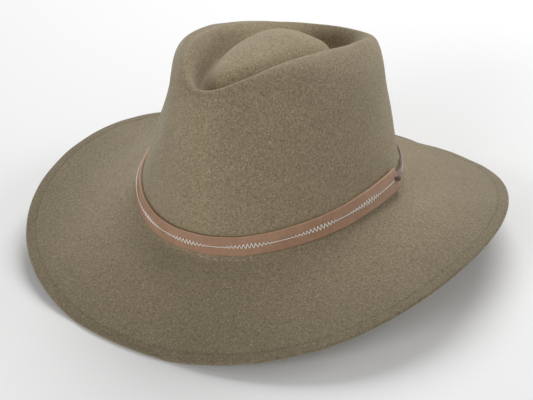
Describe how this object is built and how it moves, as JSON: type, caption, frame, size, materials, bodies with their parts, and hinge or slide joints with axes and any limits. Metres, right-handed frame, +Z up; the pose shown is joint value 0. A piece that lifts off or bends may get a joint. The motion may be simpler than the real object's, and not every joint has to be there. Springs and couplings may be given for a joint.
{
  "type": "felt hat",
  "caption": "Wide-brimmed felt hat with a teardrop-dented crown, a flat leather band closed by a lace, and a brim raised at the sides.",
  "frame": {"origin": "centre of the hat's bounding box in plan, on the plane the brim rests on", "axes": "+Z up out of the crown, -Y towards the front of the hat, +X towards the wearer's left"},
  "size_m": [0.3374, 0.336, 0.1562],
  "materials": {
    "felt": "olive-taupe wool felt, brushed, matt",
    "band_leather": "tan leather with lighter cut edges, satin",
    "lace_leather": "dark plum-brown leather thong, matt"
  },
  "bodies": {
    "root": {"felt_body": "felt", "leather_band": "band_leather", "lace": "lace_leather"}
  },
  "joints": []
}
